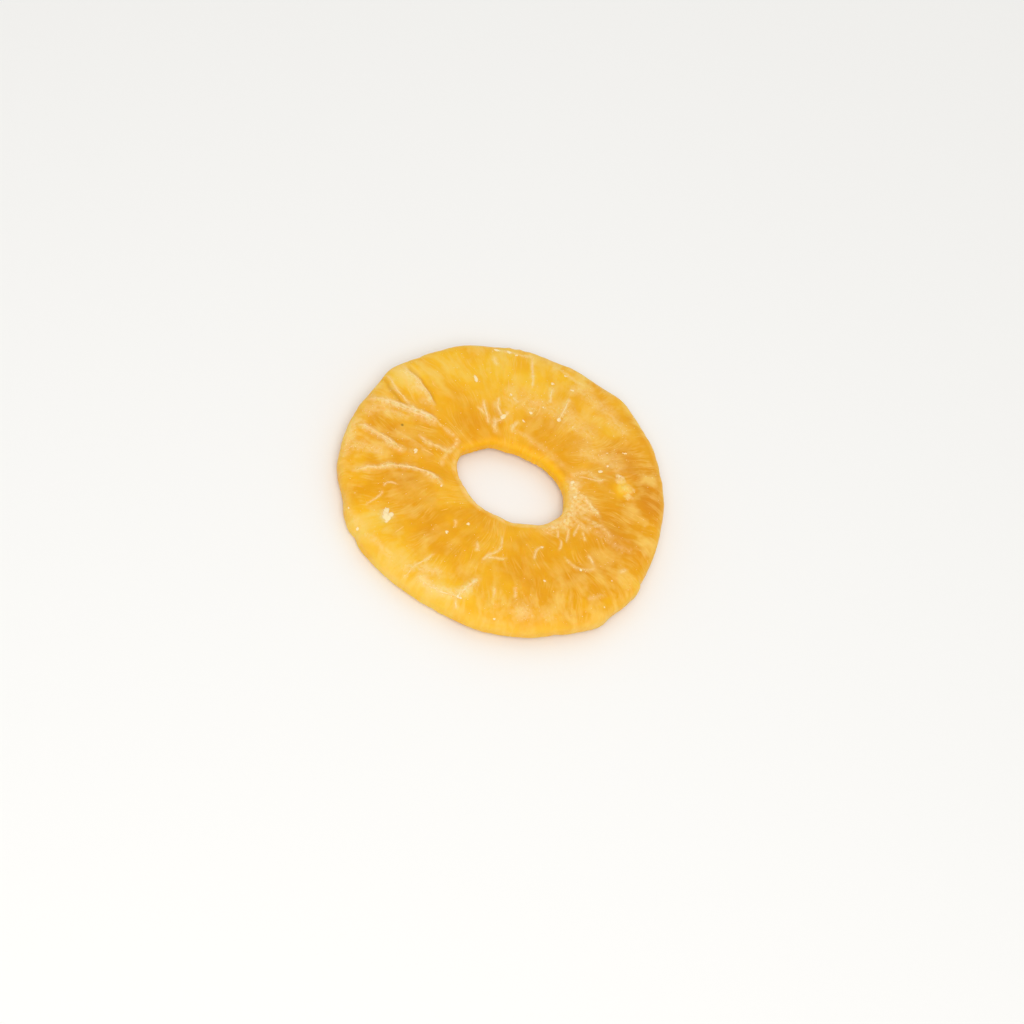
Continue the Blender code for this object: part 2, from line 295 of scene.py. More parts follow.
# Broad tones of the flesh, partly its own colour and partly painted light: some lemon patches stand in for
# brighter light towards the top, and some amber patches are painted shade on the left and the right. Place
# and radius in mm, and how far it leans to lemon or to amber
toneAndLightPatches = (
    (-30.5, 13.0, 4.5, 0.9), (-24.0, 21.0, 6.0, 0.6), (-14.0, 27.0, 7.0, 0.6), (0.0, 30.0, 7.0, 0.35),
    (-33.0, -17.0, 4.0, 0.10), (-25.0, -27.5, 5.5, 0.85), (-14.5, -33.0, 5.5, 0.9), (-3.0, -36.0, 6.0, 0.75),
    (8.0, -33.5, 5.0, 0.5), (22.0, -31.0, 4.5, 0.35), (16.0, 25.0, 4.0, 0.3), (25.0, 10.0, 2.2, 1.4),
    (27.5, 15.5, 6.0, -0.85), (24.0, 2.0, 6.0, -0.7), (33.0, 9.0, 5.0, -0.7), (27.0, -11.0, 7.0, -0.50),
    (32.0, -4.0, 5.0, -0.4), (21.0, 19.0, 4.5, -0.5), (-19.0, 0.5, 3.5, -0.35), (-27.5, -2.5, 3.0, -0.3),
    (-19.5, -12.8, 3.5, -0.45), (-13.5, -21.0, 5.0, -0.20), (-10.0, 9.5, 4.0, -0.25), (4.0, 14.0, 6.0, -0.25),
    (4.0, -22.5, 6.0, -0.10), (-28.0, -5.0, 5.0, -0.12), (-23.0, -13.0, 4.0, -0.2),
    (18.5, -21.5, 6.5, -0.28), (-6.0, 24.0, 8.0, 0.25),
)
toneSpan = (-1.2, 1.4)             # what they add up to stays between these

# How lines, fibres and lumps are drawn
markForm = {
    "curvePoints": 40,
    "wander": (0.45 * mm, 2.4 * mm),         # how far they wander, and at about what size
    "fineWander": (0.08 * mm, 0.7 * mm),
    "reach": 6.0 * mm,             # a line's relief ends within this distance
    "fray": (0.45, 1.6 * mm),      # share of a line's width that comes and goes, and at what size
    "taper": 2.2,                  # larger keeps a line wide nearer to its ends
    "blunt": 0.08,                 # share of the taper that is cut off at each end
    "foldsBelow": -0.17,           # mm: lower lines are folds and get painted shade in their creases
    "fibreFoot": 3.2,              # the flesh that a fibre lifts, in its half thicknesses
    "fibreRise": 0.5,
    "fibreWidth": 0.85,            # of the fibre itself, as a share of its half thickness
    "fibrePaleness": 0.75,
    "lumpFray": (0.3, 2.0 * mm),
    "lumpFineFray": (0.25, 0.6 * mm),
}


def angleGap(angle, centre):
    return (angle - centre + math.pi) % (2 * math.pi) - math.pi


def markedOutline(angle, marks):
    # what the bumps and dents add to an outline's radius
    added = np.zeros_like(angle)
    for place, halfWidth, height in marks:
        gap = angleGap(angle, math.radians(place)) / math.radians(halfWidth)
        added += height * mm * np.exp(-gap ** 2)
    return added


def outlineRadius(angle):
    radius = ringForm["radius"] + markedOutline(angle, ringForm["outlineMarks"])
    for count, height, crest in ringForm["outlineWaves"]:
        radius += height * np.cos(count * (angle - math.radians(crest)))
    return radius


def holeRadius(angle):
    # an uneven ellipse, measured from the hole's own centre
    along, across = np.cos(angle) / ringForm["holeHalfLength"], np.sin(angle) / ringForm["holeHalfWidth"]
    return 1 / np.hypot(along, across) + markedOutline(angle, ringForm["holeMarks"])


def sectionSteps():
    # steps round the section: place across the band and up it, each from -1 to 1
    turn = np.linspace(0, 2 * math.pi, ringForm["sectionSamples"] + 1)
    squareness = np.where(np.cos(turn) > 0, ringForm["rimSquareness"], ringForm["holeEdgeSquareness"])
    across = np.sign(np.cos(turn)) * np.abs(np.cos(turn)) ** (2 / squareness)
    upward = np.sign(np.sin(turn)) * np.abs(np.sin(turn)) ** (2 / squareness)
    halfBand = (ringForm["radius"] - ringForm["holeHalfLength"]) / 2
    step = np.hypot(np.diff(across) * halfBand, np.diff(upward) * ringForm["thickness"] / 2)
    step *= np.where(upward[1:] < ringForm["underFrom"], ringForm["underStepShare"], 1.0)
    walked = np.concatenate(([0], np.cumsum(step)))
    wanted = np.arange(ringForm["stepsSection"]) / ringForm["stepsSection"] * walked[-1]
    return np.interp(wanted, walked, across), np.interp(wanted, walked, upward)


def bentLine(points):
    # a smooth curve through its points
    points = np.array(points) * mm
    walked = np.concatenate(([0], np.cumsum(np.hypot(*np.diff(points, axis=0).T))))
    steps = np.linspace(0, walked[-1], markForm["curvePoints"])
    sides = [np.polynomial.Polynomial.fit(walked, side, len(points) - 1)(steps) for side in points.T]
    return np.column_stack(sides)


def unevenness(x, y, size):
    # smooth swings between -1 and 1 with no repeat that shows, about one to each size
    turns = ((1.0, 0.37, 0.4), (-0.53, 0.91, 1.9), (0.71, -1.13, 3.1), (1.61, 0.83, 5.0))
    return sum(np.sin((x * along + y * across) * 2 / size + start) for along, across, start in turns) / 4


def wandered(x, y):
    # places moved a little to and fro, so that no ridge or fibre runs quite true
    (far, size), (fine, fineSize) = markForm["wander"], markForm["fineWander"]
    offX = far * unevenness(x, y, size) + fine * unevenness(y, x, fineSize)
    offY = far * unevenness(y, -x, size) + fine * unevenness(-x, y, fineSize)
    return x + offX, y + offY


def lineShape(x, y, points, rightWidth, leftWidth):
    # which places are near a line, and a bell across it that tapers at its ends and has ragged sides
    line = bentLine(points)
    low, high = line.min(axis=0) - markForm["reach"], line.max(axis=0) + markForm["reach"]
    near = np.flatnonzero((x > low[0]) & (x < high[0]) & (y > low[1]) & (y < high[1]))
    offX, offY = x[near, None] - line[:, 0], y[near, None] - line[:, 1]
    closest = np.hypot(offX, offY).argmin(axis=1)
    rows = np.arange(len(near))
    offX, offY = offX[rows, closest], offY[rows, closest]
    wayX, wayY = np.gradient(line[:, 0])[closest], np.gradient(line[:, 1])[closest]
    onLeft = wayX * offY - wayY * offX > 0
    blunt = markForm["blunt"]
    share = blunt + (1 - 2 * blunt) * closest / (len(line) - 1)
    taper = np.clip(np.sin(math.pi * share) * markForm["taper"], 0, 1)
    fray, size = markForm["fray"]
    ragged = 1 + fray * unevenness(x[near], y[near], size)
    width = np.where(onLeft, leftWidth, rightWidth) * mm * ragged
    return near, np.exp(-(np.hypot(offX, offY) / width) ** 2) * taper


def markedRelief(x, y):
    # height of the named ridges, folds and lumps, the paleness that goes with them, and the painted shade in
    # the folds' creases
    height, sugar, shade = np.zeros_like(x), np.zeros_like(x), np.zeros_like(x)
    x, y = wandered(x, y)
    for *points, rightWidth, leftWidth, rise, pale in faceLines.values():
        near, shape = lineShape(x, y, points, rightWidth, leftWidth)
        height[near] += rise * mm * shape
        sugar[near] = np.maximum(sugar[near], pale * shape ** 2)
        # painted shade along the crease of each fold
        if rise < markForm["foldsBelow"]:
            shade[near] = np.maximum(shade[near], shape)
    for *points, halfThickness in namedFibres.values():
        width = markForm["fibreFoot"] * halfThickness
        near, shape = lineShape(x, y, points, width, width)
        height[near] += markForm["fibreRise"] * halfThickness * mm * shape
        sugar[near] = np.maximum(sugar[near], markForm["fibrePaleness"] * shape)
    (fray, size), (fineFray, fineSize) = markForm["lumpFray"], markForm["lumpFineFray"]
    ragged = 1 + fray * unevenness(x, y, size) + fineFray * unevenness(y, x, fineSize)
    for placeX, placeY, radius, rise, pale, steepness in faceLumps:
        gap = np.hypot(x - placeX * mm, y - placeY * mm) / (radius * mm * ragged)
        shape = np.exp(-gap ** steepness)
        height += rise * mm * shape
        sugar = np.maximum(sugar, pale * shape)
    return height, sugar, shade


# the broad patches added up: the flesh's own tone together with painted light and shade
def patchToneAndLight(x, y):
    toneAndLight = np.zeros_like(x)
    for placeX, placeY, radius, lean in toneAndLightPatches:
        toneAndLight += lean * np.exp(-(np.hypot(x - placeX * mm, y - placeY * mm) / (radius * mm)) ** 2)
    return np.clip(toneAndLight, *toneSpan)


def aroundWaves(x, y):
    angle, reach = np.arctan2(y, x), np.hypot(x, y) / ringForm["radius"]
    height = np.zeros_like(x)
    for count, rise, lean in ringForm["faceWaves"]:
        height += rise * reach * np.cos(count * angle + math.radians(lean) * reach * 4)
    return height


def warpHeight(x, y):
    angle, reach = np.arctan2(y, x), np.hypot(x, y) / ringForm["radius"]
    height = np.zeros_like(x)
    for count, rise, crest in ringForm["warpWaves"]:
        height += rise * reach ** 2 * np.cos(count * (angle - math.radians(crest)))
    return height


def ringMesh():
    around, section = ringForm["stepsAround"], ringForm["stepsSection"]
    across, upward = sectionSteps()
    angle = np.repeat(np.arange(around) / around * 2 * math.pi, section)
    across, upward = np.tile(across, around), np.tile(upward, around)
    share = (across + 1) / 2
    innerX = ringForm["holeCentre"][0] + holeRadius(angle) * np.cos(angle)
    innerY = ringForm["holeCentre"][1] + holeRadius(angle) * np.sin(angle)
    outerX, outerY = outlineRadius(angle) * np.cos(angle), outlineRadius(angle) * np.sin(angle)
    x, y = innerX + (outerX - innerX) * share, innerY + (outerY - innerY) * share
    x += (cadLow[0] + cadHigh[0]) / 2 - (x.min() + x.max()) / 2
    y += (cadLow[1] + cadHigh[1]) / 2 - (y.min() + y.max()) / 2
    marks, sugar, shade = markedRelief(x, y)
    top = np.clip(upward, 0, 1)
    z = (1 + upward) * ringForm["thickness"] / 2 + warpHeight(x, y) - ringForm["warpSink"]
    z += upward * (aroundWaves(x, y) - ringForm["holeThinning"] * (1 - share) ** 2) + top * marks
    first = np.arange(around * section).reshape(around, section)
    faces = np.stack((first, np.roll(first, -1, 0), np.roll(first, -1, (0, 1)), np.roll(first, -1, 1)), 2)
    mesh = bpy.data.meshes.new("ring_form")
    mesh.from_pydata(np.column_stack((x, y, z)).tolist(), [], faces.reshape(-1, 4).tolist())
    marked = {
        "upward": upward,
        "across": across,
        # the flesh's own tone with painted light and shade, from the broad patches
        "toneAndLight": patchToneAndLight(x, y),
        "sugar": sugar * top,
        "shade": shade * top,
    }
    for label, values in marked.items():
        mesh.attributes.new(label, "FLOAT", "POINT").data.foreach_set("value", values.astype(np.float32))
    mesh.shade_smooth()
    mesh.update()
    return mesh


print("ring form")
ringStart = bpy.data.objects.new("ring_form", ringMesh())
bpy.context.scene.collection.objects.link(ringStart)


# Fibre relief: bundles that run from the core outwards, dents between them and a fine grain

fibreRelief = {
    "Bundles": 46.0,               # bundles to a turn, about
    "Bundle Height": 0.09 * mm,
    "Fibres": 150.0,
    "Fibre Height": 0.035 * mm,
    "Dent Size": 3.4 * mm,
    "Dent Depth": 0.20 * mm,
    "Grain Size": 0.9 * mm,
    "Grain Height": 0.045 * mm,
    "Stray": 3.0 * mm,             # how far a fibre's way wanders off straight outwards
}

# Which noise each layer has, how often it changes to a metre along the fibres, and its detail
reliefLayers = (
    ("Bundles", "Bundle Height", 90.0, 1.0),
    ("Fibres", "Fibre Height", 160.0, 2.0),
    ("Dent Size", "Dent Depth", None, 1.5),
    ("Grain Size", "Grain Height", None, 2.0),
)


def fibreWay(tree, place, stray):
    # a place's way from the core, and the flat way that its fibre runs
    core = (*ringForm["holeCentre"], 0)
    fromCore = addNode(tree, "ShaderNodeVectorMath", {0: place, 1: core}, operation="SUBTRACT")
    drift = addNode(tree, "ShaderNodeTexNoise", {
        "Vector": place, "Scale": 1 / ringForm["driftSize"], "Detail": 0.0}, output=1)
    swing = noiseSwing(tree, drift, stray)
    strayed = addNode(tree, "ShaderNodeVectorMath", {0: fromCore, 1: swing})
    flat = addNode(tree, "ShaderNodeVectorMath", {0: strayed, 1: (1, 1, 0)}, operation="MULTIPLY")
    way = addNode(tree, "ShaderNodeVectorMath", {0: flat}, operation="NORMALIZE")
    return fromCore, way


def fibreNoise(tree, fromCore, way, count, changes, detail):
    # noise that changes fast round the core and slowly along the fibres
    turns = addNode(tree, "ShaderNodeMath", {0: count, 1: 1 / (2 * math.pi)}, operation="MULTIPLY")
    spun = addNode(tree, "ShaderNodeVectorMath", {0: way, "Scale": turns}, operation="SCALE")
    slow = addNode(tree, "ShaderNodeVectorMath", {0: fromCore, "Scale": changes}, operation="SCALE")
    where = addNode(tree, "ShaderNodeVectorMath", {0: spun, 1: slow})
    return addNode(tree, "ShaderNodeTexNoise", {"Vector": where, "Scale": 1.0, "Detail": detail})


def fibreReliefTree():
    tree, given = newTree("fibre relief", fibreRelief, Material="Material")
    place = addNode(tree, "GeometryNodeInputPosition")
    normal = addNode(tree, "GeometryNodeInputNormal")
    fromCore, way = fibreWay(tree, place, given["Stray"])
    total = 0.0
    for label, height, changes, detail in reliefLayers:
        if changes:
            noise = fibreNoise(tree, fromCore, way, given[label], changes, detail)
        else:
            noise = sizedNoise(tree, place, given[label], detail)[0]
        level = addNode(tree, "ShaderNodeMath", {0: noise, 1: 0.5}, operation="SUBTRACT")
        layer = addNode(tree, "ShaderNodeMath", {0: level, 1: given[height]}, operation="MULTIPLY")
        total = addNode(tree, "ShaderNodeMath", {0: layer, 1: total})
    # noise keeps to about half of its range, so the heights are doubled
    doubled = addNode(tree, "ShaderNodeMath", {0: total, 1: 2.0}, operation="MULTIPLY")
    push = addNode(tree, "ShaderNodeVectorMath", {0: normal, "Scale": doubled}, operation="SCALE")
    moved = addNode(tree, "ShaderNodeVectorMath", {0: place, 1: push})
    parts = addNode(tree, "ShaderNodeSeparateXYZ", {0: moved}, output=None).outputs
    lifted = addNode(tree, "ShaderNodeMath", {0: parts[2], 1: 0.0}, operation="MAXIMUM")
    final = addNode(tree, "ShaderNodeCombineXYZ", {0: parts[0], 1: parts[1], 2: lifted})
    shaped = addNode(tree, "GeometryNodeSetPosition", {"Geometry": given["Geometry"], "Position": final})
    smooth = addNode(tree, "GeometryNodeSetShadeSmooth", {"Geometry": shaped})
    finishTree(tree, smooth, given["Material"])
    return tree


# Sugar grains: crystals that dried out on ridges, lumps and the crust beside the hole

sugarGrains = {
    "Density": 7.0e6,              # grains to a square metre where the crust is full
    "Dusting": 0.015,              # share of that density on the rest of the upper face
    "Smallest": 0.04 * mm,         # radius
    "Largest": 0.12 * mm,
    "Least Stretch": (0.7, 0.7, 0.45),
    "Most Stretch": (1.25, 1.1, 0.9),
    "No Turn": (0.0, 0.0, 0.0),
    "Full Turn": (6.28, 6.28, 6.28),
    "Face From": 0.6,              # how far up the section the upper face starts
    "Seed": 11,
}


def sugarGrainsTree():
    tree, given = newTree("sugar grains", sugarGrains, Material="Material")
    sugar, upward = (
        addNode(tree, "GeometryNodeInputNamedAttribute", {"Name": label}, data_type="FLOAT")
        for label in ("sugar", "upward"))
    above = addNode(tree, "ShaderNodeMath", {0: upward, 1: given["Face From"]}, operation="GREATER_THAN")
    dust = addNode(tree, "ShaderNodeMath", {0: above, 1: given["Dusting"]}, operation="MULTIPLY")
    crusted = addNode(tree, "ShaderNodeMath", {0: sugar, 1: 2.0}, operation="POWER")
    share = addNode(tree, "ShaderNodeMath", {0: crusted, 1: dust})
    density = addNode(tree, "ShaderNodeMath", {0: share, 1: given["Density"]}, operation="MULTIPLY")
    scattered = addNode(tree, "GeometryNodeDistributePointsOnFaces", {
        "Mesh": given["Geometry"], "Density": density, "Seed": given["Seed"]}, output="Points")
    crystal = addNode(tree, "GeometryNodeMeshIcoSphere", {"Radius": 1.0, "Subdivisions": 1})
    size = addNode(tree, "FunctionNodeRandomValue", {
        2: given["Smallest"], 3: given["Largest"], "Seed": 3}, data_type="FLOAT", output=1)
    stretch, turn = (
        addNode(tree, "FunctionNodeRandomValue", {
            0: given[least], 1: given[most], "Seed": seed}, data_type="FLOAT_VECTOR")
        for least, most, seed in (("Least Stretch", "Most Stretch", 5), ("No Turn", "Full Turn", 7)))
    scale = addNode(tree, "ShaderNodeVectorMath", {0: stretch, "Scale": size}, operation="SCALE")
    placed = addNode(tree, "GeometryNodeInstanceOnPoints", {"Points": scattered, "Instance": crystal,
        "Rotation": turn, "Scale": scale})
    finishTree(tree, placed, given["Material"])
    return tree


# Fibre strands: single pale fibres that lie half sunk in the upper face, the named ones and
# others that are strewn over it

fibreStrands = {
    "Density": 0.20e5,             # strewn strands to a square metre, where there are any
    "Face From": 0.93,             # how far up the section they start
    "Shortest": 1.2 * mm,
    "Longest": 3.4 * mm,
    "Half Thickness": 0.14 * mm,
    "Flatness": 0.4,               # a strand's height as a share of its width
    "Sink": 0.25,                  # how deep it lies, as a share of its half thickness
    "Lean": 0.30,                  # radians that a strand may turn from straight outwards
    "Wander": 0.30 * mm,
    "Bend Size": 3.0 * mm,
    "Break Size": 1.3 * mm,        # strands fade out and come back at about this length
    "Break From": 0.26,
    "Break To": 0.56,
    "Thinned Width": 0.12,         # what is left of a strand's width where it has faded
    "Patch Size": 8.0 * mm,        # strands are strewn in patches of about this size
    "Patch From": 0.42,
    "Patch To": 0.62,
    "Thinnest": 0.5,               # share of the half thickness that the thinnest strewn ones have
    "Palest": 0.25,                # how pale strewn ones dry at most, where the named ones have 1
    "Tip Shape": 0.6,              # smaller keeps a strand wide nearer to its tips
    "Step": 0.4 * mm,
    "Seed": 4,
}


def fibrePaths():
    paths = bpy.data.curves.new("fibre_paths", "CURVE")
    paths.dimensions = "3D"
    for *points, halfThickness in namedFibres.values():
        line = bentLine(points)
        moved = 2 * line - np.column_stack(wandered(*line.T))
        spline = paths.splines.new("POLY")
        spline.points.add(len(line) - 1)
        for point, (x, y) in zip(spline.points, moved):
            point.co = (x, y, 0, 1)
            point.radius = markForm["fibreWidth"] * halfThickness * mm
    return bpy.data.objects.new("fibre_paths", paths)


def dropOnRing(tree, ringGeometry, geometry):
    # sets points down on the upper face, drops those that miss it, and gives the face's normal
    start, reach, lowestFace = (0, 0, 50 * mm), 100 * mm, 3 * mm
    place = addNode(tree, "GeometryNodeInputPosition")
    above = addNode(tree, "ShaderNodeVectorMath", {0: place, 1: start})
    ray = addNode(tree, "GeometryNodeRaycast", {"Target Geometry": ringGeometry, "Source Position": above,
        "Ray Direction": (0, 0, -1), "Ray Length": reach}, output=None).outputs
    height = addNode(tree, "ShaderNodeSeparateXYZ", {0: ray["Hit Position"]}, output=2)
    low = addNode(tree, "ShaderNodeMath", {0: height, 1: lowestFace}, operation="LESS_THAN")
    miss = addNode(tree, "FunctionNodeBooleanMath", {0: ray["Is Hit"]}, operation="NOT")
    off = addNode(tree, "FunctionNodeBooleanMath", {0: miss, 1: low}, operation="OR")
    for label, value, kind in (
            ("faceNormal", ray["Hit Normal"], "FLOAT_VECTOR"), ("offFace", off, "BOOLEAN")):
        geometry = addNode(tree, "GeometryNodeStoreNamedAttribute", {
            "Geometry": geometry, "Name": label, "Value": value}, data_type=kind)
    moved = addNode(tree, "GeometryNodeSetPosition", {
        "Geometry": geometry, "Position": ray["Hit Position"]})
    missed = addNode(tree, "GeometryNodeInputNamedAttribute", {"Name": "offFace"}, data_type="BOOLEAN")
    return addNode(tree, "GeometryNodeDeleteGeometry", {"Geometry": moved, "Selection": missed})


def strewnSticks(tree, given, ring, place):
    # short straight lines strewn over the upper face, each one lying about straight outwards
    chance = {}
    back = addNode(tree, "ShaderNodeMath", {0: given["Lean"], 1: -1.0}, operation="MULTIPLY")
    for label, least, most, seed in (
            ("lean", back, given["Lean"], 2), ("length", given["Shortest"], given["Longest"], 3),
            ("thickness", given["Thinnest"], 1.0, 6), ("paleness", 0.0, given["Palest"], 8)):
        chance[label] = addNode(tree, "FunctionNodeRandomValue", {
            2: least, 3: most, "Seed": seed}, data_type="FLOAT", output=1)

    upward = addNode(tree, "GeometryNodeInputNamedAttribute", {"Name": "upward"}, data_type="FLOAT")
    onFace = addNode(tree, "ShaderNodeMath", {0: upward, 1: given["Face From"]}, operation="GREATER_THAN")
    noise = sizedNoise(tree, place, given["Patch Size"], 1.0)[0]
    patches = addNode(tree, "ShaderNodeMapRange", {
        "Value": noise, "From Min": given["Patch From"], "From Max": given["Patch To"]})
    density = patches
    for share in (onFace, given["Density"]):
        density = addNode(tree, "ShaderNodeMath", {0: density, 1: share}, operation="MULTIPLY")
    strewn = addNode(tree, "GeometryNodeDistributePointsOnFaces", {
        "Mesh": ring, "Density": density, "Seed": given["Seed"]}, output="Points")

    core = (*ringForm["holeCentre"], 0)
    fromCore = addNode(tree, "ShaderNodeVectorMath", {0: place, 1: core}, operation="SUBTRACT")
    parts = addNode(tree, "ShaderNodeSeparateXYZ", {0: fromCore}, output=None).outputs
    outward = addNode(tree, "ShaderNodeMath", {0: parts[1], 1: parts[0]}, operation="ARCTAN2")
    leaning = addNode(tree, "ShaderNodeMath", {0: outward, 1: chance["lean"]})
    turn = addNode(tree, "ShaderNodeCombineXYZ", {2: leaning})
    stick = addNode(tree, "GeometryNodeCurvePrimitiveLine", {"Start": (-0.5, 0, 0), "End": (0.5, 0, 0)})
    sticks = addNode(tree, "GeometryNodeInstanceOnPoints", {
        "Points": strewn, "Instance": stick, "Rotation": turn, "Scale": chance["length"]})
    loose = addNode(tree, "GeometryNodeRealizeInstances", {"Geometry": sticks})
    radius = addNode(tree, "ShaderNodeMath", {
        0: chance["thickness"], 1: given["Half Thickness"]}, operation="MULTIPLY")
    thin = addNode(tree, "GeometryNodeSetCurveRadius", {"Curve": loose, "Radius": radius})
    return thin, chance["paleness"]


def fibreStrandsTree():
    tree, given = newTree("fibre strands", fibreStrands, Ring="Object", Material="Material")
    ring = addNode(tree, "GeometryNodeObjectInfo", {"Object": given["Ring"]}, output="Geometry")
    place = addNode(tree, "GeometryNodeInputPosition")
    sticks, paleness = strewnSticks(tree, given, ring, place)
    both = addNode(tree, "GeometryNodeJoinGeometry", output=None)
    for geometry, pale in ((sticks, paleness), (given["Geometry"], 1.0)):
        marked = addNode(tree, "GeometryNodeStoreNamedAttribute", {
            "Geometry": geometry, "Name": "pale", "Value": pale}, data_type="FLOAT", domain="CURVE")
        tree.links.new(marked, both.inputs[0])
    even = addNode(tree, "GeometryNodeResampleCurve", {
        "Curve": both.outputs[0], "Length": given["Step"]}, mode="LENGTH")
    swing = noiseSwing(tree, sizedNoise(tree, place, given["Bend Size"], 1.0)[1], given["Wander"])
    bent = addNode(tree, "GeometryNodeSetPosition", {"Geometry": even, "Offset": swing})
    laid = dropOnRing(tree, ring, bent)

    # a strand's width: it tapers at both ends, and fades out and comes back between them
    width = addNode(tree, "GeometryNodeSplineParameter", output="Factor")
    for operation, amount in (
            ("MULTIPLY", math.pi), ("SINE", 0.0), ("MAXIMUM", 0.0), ("POWER", given["Tip Shape"])):
        width = addNode(tree, "ShaderNodeMath", {0: width, 1: amount}, operation=operation)
    noise = sizedNoise(tree, place, given["Break Size"], 2.0)[0]
    broken = addNode(tree, "ShaderNodeMapRange", {
        "Value": noise, "From Min": given["Break From"], "From Max": given["Break To"]})
    kept = addNode(tree, "ShaderNodeMath", {0: broken, 1: given["Thinned Width"]})
    radius = addNode(tree, "GeometryNodeInputRadius")
    for share in (kept, radius):
        width = addNode(tree, "ShaderNodeMath", {0: width, 1: share}, operation="MULTIPLY")
    shaped = addNode(tree, "GeometryNodeSetCurveRadius", {"Curve": laid, "Radius": width})

    normal = addNode(tree, "GeometryNodeInputNamedAttribute", {
        "Name": "faceNormal"}, data_type="FLOAT_VECTOR")
    down = width
    for share in (given["Sink"], -1.0):
        down = addNode(tree, "ShaderNodeMath", {0: down, 1: share}, operation="MULTIPLY")
    sink = addNode(tree, "ShaderNodeVectorMath", {0: normal, "Scale": down}, operation="SCALE")
    sunk = addNode(tree, "GeometryNodeSetPosition", {"Geometry": shaped, "Offset": sink})
    level = addNode(tree, "GeometryNodeSetCurveNormal", {"Curve": sunk}, mode="Z_UP")
    section = addNode(tree, "GeometryNodeCurvePrimitiveCircle", {"Resolution": 8, "Radius": 1.0})
    squash = addNode(tree, "ShaderNodeCombineXYZ", {0: 1.0, 1: given["Flatness"], 2: 1.0})
    oval = addNode(tree, "GeometryNodeTransform", {"Geometry": section, "Scale": squash})
    tubes = addNode(tree, "GeometryNodeCurveToMesh", {
        "Curve": level, "Profile Curve": oval, "Scale": radius, "Fill Caps": True})
    smooth = addNode(tree, "GeometryNodeSetShadeSmooth", {"Geometry": tubes})
    finishTree(tree, smooth, given["Material"])
    return tree


# Sugar lumps: larger knots of dried sugar and fibre ends, each one with its place, length and
# width in mm and its turn in degrees

sugarLumps = (
    (-20.9, -22.0, 2.6, 1.3, 100), (-20.3, -23.3, 2.2, 1.6, 150), (-19.7, -22.6, 1.9, 1.1, 80),
    (-19.9, -24.2, 1.3, 0.9, 20), (-6.9, -20.4, 1.0, 0.9, 0), (-3.5, -15.9, 1.0, 0.8, 20),
    (-9.6, -11.8, 0.5, 0.45, 0), (-15.4, -15.1, 0.6, 0.5, 30), (-12.7, -9.5, 1.2, 0.7, -40),
    (-21.1, -4.3, 1.4, 0.9, 80), (-15.2, -6.6, 0.5, 0.4, 0), (-16.2, 20.8, 2.1, 0.9, -45),
    (-14.6, 31.6, 1.4, 0.9, 20), (-11.8, 32.6, 1.5, 0.8, -10), (-9.8, 32.5, 1.3, 0.8, 5),
    (0.4, 29.3, 2.0, 1.0, -75), (2.2, 33.6, 1.1, 0.8, 0), (5.1, 30.1, 1.4, 0.65, 10),
    (-7.1, 21.2, 1.0, 0.75, -30), (-4.1, 22.0, 1.1, 0.45, 0), (-1.4, 19.1, 0.9, 0.8, 0),
    (0.8, 22.4, 0.9, 0.7, 15), (-6.7, 14.6, 1.4, 1.0, 50), (-1.9, 16.4, 1.5, 0.6, 10),
    (5.1, 20.7, 1.2, 0.8, 80), (8.3, 20.7, 1.3, 0.6, -35), (-6.4, 7.7, 1.1, 0.7, 70),
    (18.3, 17.6, 0.8, 0.6, 0), (21.9, 19.6, 1.4, 0.65, 25), (19.7, 14.4, 0.9, 0.8, 0),
    (18.6, 12.3, 1.1, 0.85, 30), (22.8, 12.6, 1.0, 0.8, 60), (13.8, 6.5, 1.1, 0.8, 20),
    (15.7, 3.0, 1.0, 0.7, 65), (16.4, -1.9, 0.9, 0.6, 0), (30.9, 3.4, 0.8, 0.45, 15),
    (17.1, -21.5, 0.8, 0.65, 0), (30.5, -14.2, 0.8, 0.55, 40), (32.8, -15.2, 0.7, 0.6, 0),
    (10.5, -35.5, 0.8, 0.6, 10), (31.4, -20.9, 0.8, 0.6, 0), (23.4, -14.9, 0.9, 0.65, -20),
    (13.5, -13.3, 0.7, 0.6, 0), (1.6, -34.6, 1.3, 0.8, 5), (-24.9, -28.2, 1.1, 0.7, -50),
    (-28.6, -24.2, 0.8, 0.6, -50),
)

lumpShape = {
    "Sink": 0.10 * mm,
    "Roughen": 0.70,               # share of a lump's own size
    "Facet Size": 0.80 * mm,
}
lumpHeight = 0.36                  # share of a lump's width


def lumpPoints():
    mesh = bpy.data.meshes.new("lump_points")
    mesh.from_pydata([(x * mm, y * mm, 0) for x, y, *rest in sugarLumps], [], [])
    sizes = [(length * mm / 2, width * mm / 2, lumpHeight * width * mm / 2)
             for x, y, length, width, turn in sugarLumps]
    turns = [(0, 0, math.radians(turn)) for *rest, turn in sugarLumps]
    for label, values in (("size", sizes), ("turn", turns)):
        mesh.attributes.new(label, "FLOAT_VECTOR", "POINT").data.foreach_set("vector", np.ravel(values))
    return bpy.data.objects.new("lump_points", mesh)


